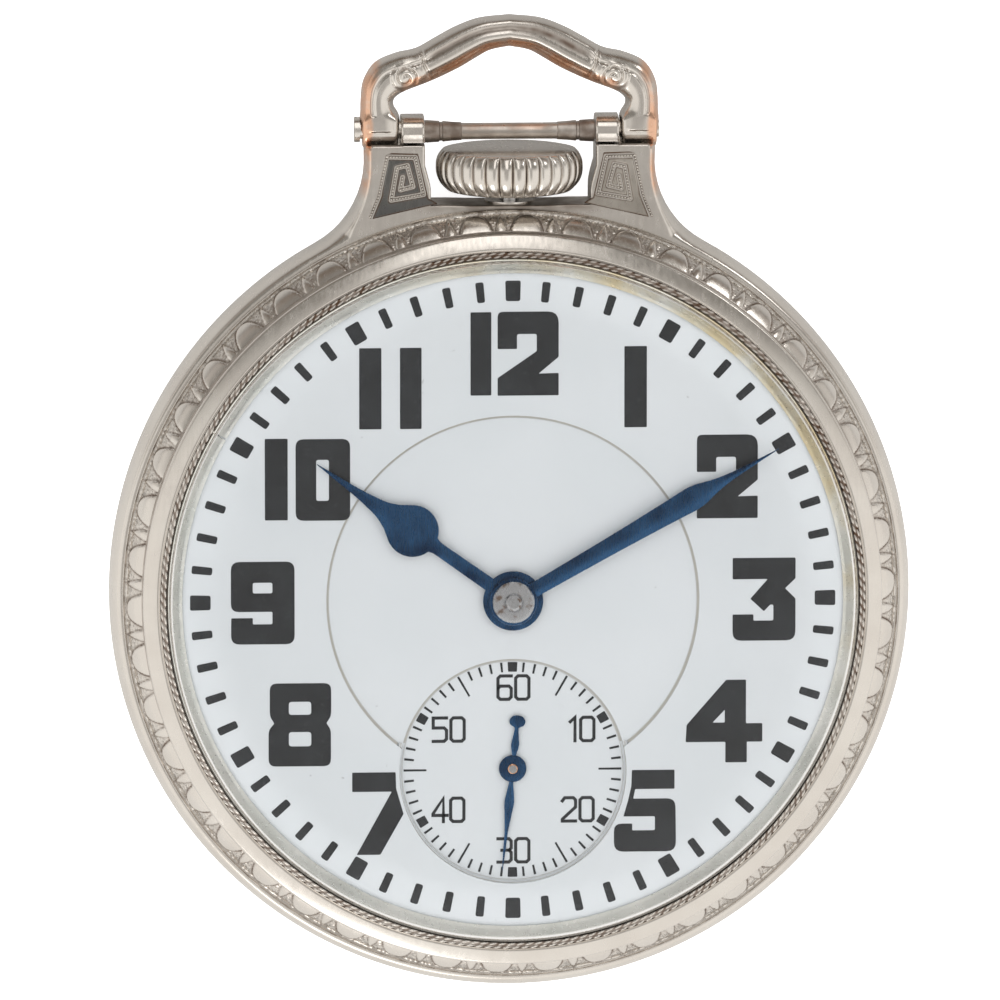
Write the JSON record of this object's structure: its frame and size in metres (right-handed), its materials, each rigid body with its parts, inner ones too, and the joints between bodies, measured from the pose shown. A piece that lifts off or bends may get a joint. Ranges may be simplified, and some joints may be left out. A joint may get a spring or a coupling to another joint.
{
  "type": "pocket watch",
  "caption": "Open face pocket watch with a scalloped screw bezel, a bow and a bar over the crown, an enamel dial with bold numerals and blued hands, and its whole movement.",
  "frame": {"origin": "on the axis of the hands, at the flat of the back cover", "axes": "+Z out of the dial, +Y to 12 o'clock and the bow, +X to 3 o'clock"},
  "size_m": [0.0508, 0.0621, 0.0122],
  "materials": {
    "case_metal": "polished white gold-filled",
    "crystal_glass": "clear domed crystal",
    "steel": "polished steel",
    "blued_steel": "heat-blued steel",
    "gilt_brass": "gilt brass",
    "nickel_plate": "damaskeened nickel",
    "ruby": "synthetic ruby",
    "dial_enamel": "white vitreous enamel",
    "dial_print": "fired black enamel paint",
    "copper": "copper"
  },
  "bodies": {
    "case": {"case_band": "case_metal", "pendant_sleeve": "case_metal", "pendant_bar": "case_metal", "bow_screws": "case_metal", "case_screws": "steel", "pillar_plate": "nickel_plate", "barrel_bridge": "nickel_plate", "train_bridge": "nickel_plate", "balance_cock": "nickel_plate", "pallet_bridge": "nickel_plate", "bridge_screws": "blued_steel", "jewels": "ruby", "crown_wheel_core": "blued_steel", "click_spring": "steel", "dial_outer": "dial_enamel", "dial_centre": "dial_enamel", "dial_seconds": "dial_enamel", "dial_feet": "copper"},
    "bow": {"bow": "case_metal"},
    "back": {"back_cover": "case_metal"},
    "glass": {"crystal": "crystal_glass"},
    "bezel": {"bezel": "case_metal", "reflector_ring": "case_metal"},
    "winder": {"crown": "case_metal", "stem": "steel", "winding_pinion": "steel", "clutch": "steel"},
    "crown_wheel": {"crown_wheel": "steel"},
    "ratchet": {"ratchet_wheel": "steel", "ratchet_screw": "blued_steel", "barrel_arbor": "steel"},
    "click": {"click": "steel"},
    "barrel": {"mainspring_barrel": "gilt_brass", "barrel_cover": "gilt_brass", "mainspring": "steel"},
    "minute": {"centre_wheel": "gilt_brass", "centre_pinion": "steel", "cannon_pinion": "steel", "minute_hand": "blued_steel", "minute_hand_boss": "steel"},
    "minute_wheel": {"minute_wheel": "gilt_brass"},
    "hour": {"hour_wheel": "gilt_brass", "hour_hand": "blued_steel"},
    "third": {"third_wheel": "gilt_brass", "third_pinion": "steel"},
    "seconds": {"fourth_wheel": "gilt_brass", "fourth_pinion": "steel", "seconds_hand": "blued_steel"},
    "escape": {"escape_wheel": "steel", "escape_pinion": "steel"},
    "lever": {"pallet_fork": "steel", "pallet_stones": "ruby", "pallet_arbor": "steel"},
    "balance": {"balance_wheel": "gilt_brass", "balance_screws": "gilt_brass", "balance_staff": "steel", "roller_table": "steel", "hairspring": "blued_steel"},
    "regulator": {"regulator": "steel"},
    "setting_lever": {"setting_lever": "steel"}
  },
  "joints": [
    {"name": "bow_swing", "type": "hinge", "parent": "case", "child": "bow", "pos_m": [0, 0.02945, 0.0049], "axis": [1, 0, 0], "range_deg": [-60, 60]},
    {"name": "back_off", "type": "slide", "parent": "case", "child": "back", "axis": [0, 0, -1], "range_m": [0, 0.012]},
    {"name": "bezel_lift", "type": "slide", "parent": "case", "child": "glass", "axis": [0, 0, 1], "range_m": [0, 0.0015]},
    {"name": "bezel_turn", "type": "hinge", "parent": "glass", "child": "bezel", "pos_m": [0, 0, 0.007], "axis": [0, 0, 1], "range_deg": [0, 1080]},
    {"name": "crown_turn", "type": "hinge", "parent": "case", "child": "winder", "pos_m": [0, 0.025, 0.0049], "axis": [0, 1, 0], "continuous": true},
    {"name": "crown_wheel_turn", "type": "hinge", "parent": "case", "child": "crown_wheel", "pos_m": [0, 0.01279, 0.0023], "axis": [0, 0, 1], "continuous": true},
    {"name": "ratchet_turn", "type": "hinge", "parent": "case", "child": "ratchet", "pos_m": [0.0053, 0.00757, 0.0023], "axis": [0, 0, 1], "continuous": true},
    {"name": "click_lift", "type": "hinge", "parent": "case", "child": "click", "pos_m": [0.0116, 0.00877, 0.0023], "axis": [0, 0, 1], "range_deg": [0, 12]},
    {"name": "minute_turn", "type": "hinge", "parent": "case", "child": "minute", "pos_m": [0, 0, 0.0099], "axis": [0, 0, -1], "continuous": true},
    {"name": "hour_turn", "type": "hinge", "parent": "case", "child": "hour", "pos_m": [0, 0, 0.0095], "axis": [0, 0, -1], "continuous": true},
    {"name": "minute_wheel_turn", "type": "hinge", "parent": "case", "child": "minute_wheel", "pos_m": [0, 0.0048, 0.0073], "axis": [0, 0, -1], "continuous": true},
    {"name": "barrel_turn", "type": "hinge", "parent": "case", "child": "barrel", "pos_m": [0.0053, 0.00757, 0.004], "axis": [0, 0, -1], "continuous": true},
    {"name": "third_turn", "type": "hinge", "parent": "case", "child": "third", "pos_m": [0.00369, -0.00618, 0.0046], "axis": [0, 0, -1], "continuous": true},
    {"name": "seconds_turn", "type": "hinge", "parent": "case", "child": "seconds", "pos_m": [0, -0.01085, 0.004], "axis": [0, 0, -1], "continuous": true},
    {"name": "escape_turn", "type": "hinge", "parent": "case", "child": "escape", "pos_m": [-0.00496, -0.00904, 0.004], "axis": [0, 0, -1], "continuous": true},
    {"name": "lever_rock", "type": "hinge", "parent": "case", "child": "lever", "pos_m": [-0.00821, -0.00664, 0.0045], "axis": [0, 0, -1], "range_deg": [-4, 4]},
    {"name": "balance_swing", "type": "hinge", "parent": "case", "child": "balance", "pos_m": [-0.0126, -0.0034, 0.0033], "axis": [0, 0, -1], "range_deg": [-270, 270]},
    {"name": "regulator_turn", "type": "hinge", "parent": "case", "child": "regulator", "pos_m": [-0.0126, -0.0034, 0.0013], "axis": [0, 0, -1], "range_deg": [-15, 15]},
    {"name": "setting_lever_pull", "type": "hinge", "parent": "case", "child": "setting_lever", "pos_m": [0.0096, 0.0152, 0.008], "axis": [0, 0, -1], "range_deg": [0, 3]}
  ],
  "couplings": [
    {"joint": "bezel_lift", "follows": "bezel_turn", "m_per_rad": 0.000079577},
    {"joint": "crown_wheel_turn", "follows": "crown_turn", "ratio": 0.76923},
    {"joint": "ratchet_turn", "follows": "crown_turn", "ratio": -0.55556},
    {"joint": "hour_turn", "follows": "minute_turn", "ratio": 0.083333},
    {"joint": "minute_wheel_turn", "follows": "minute_turn", "ratio": -0.33333},
    {"joint": "barrel_turn", "follows": "minute_turn", "ratio": -0.16667},
    {"joint": "third_turn", "follows": "minute_turn", "ratio": -8},
    {"joint": "seconds_turn", "follows": "minute_turn", "ratio": 60},
    {"joint": "escape_turn", "follows": "minute_turn", "ratio": -600}
  ]
}
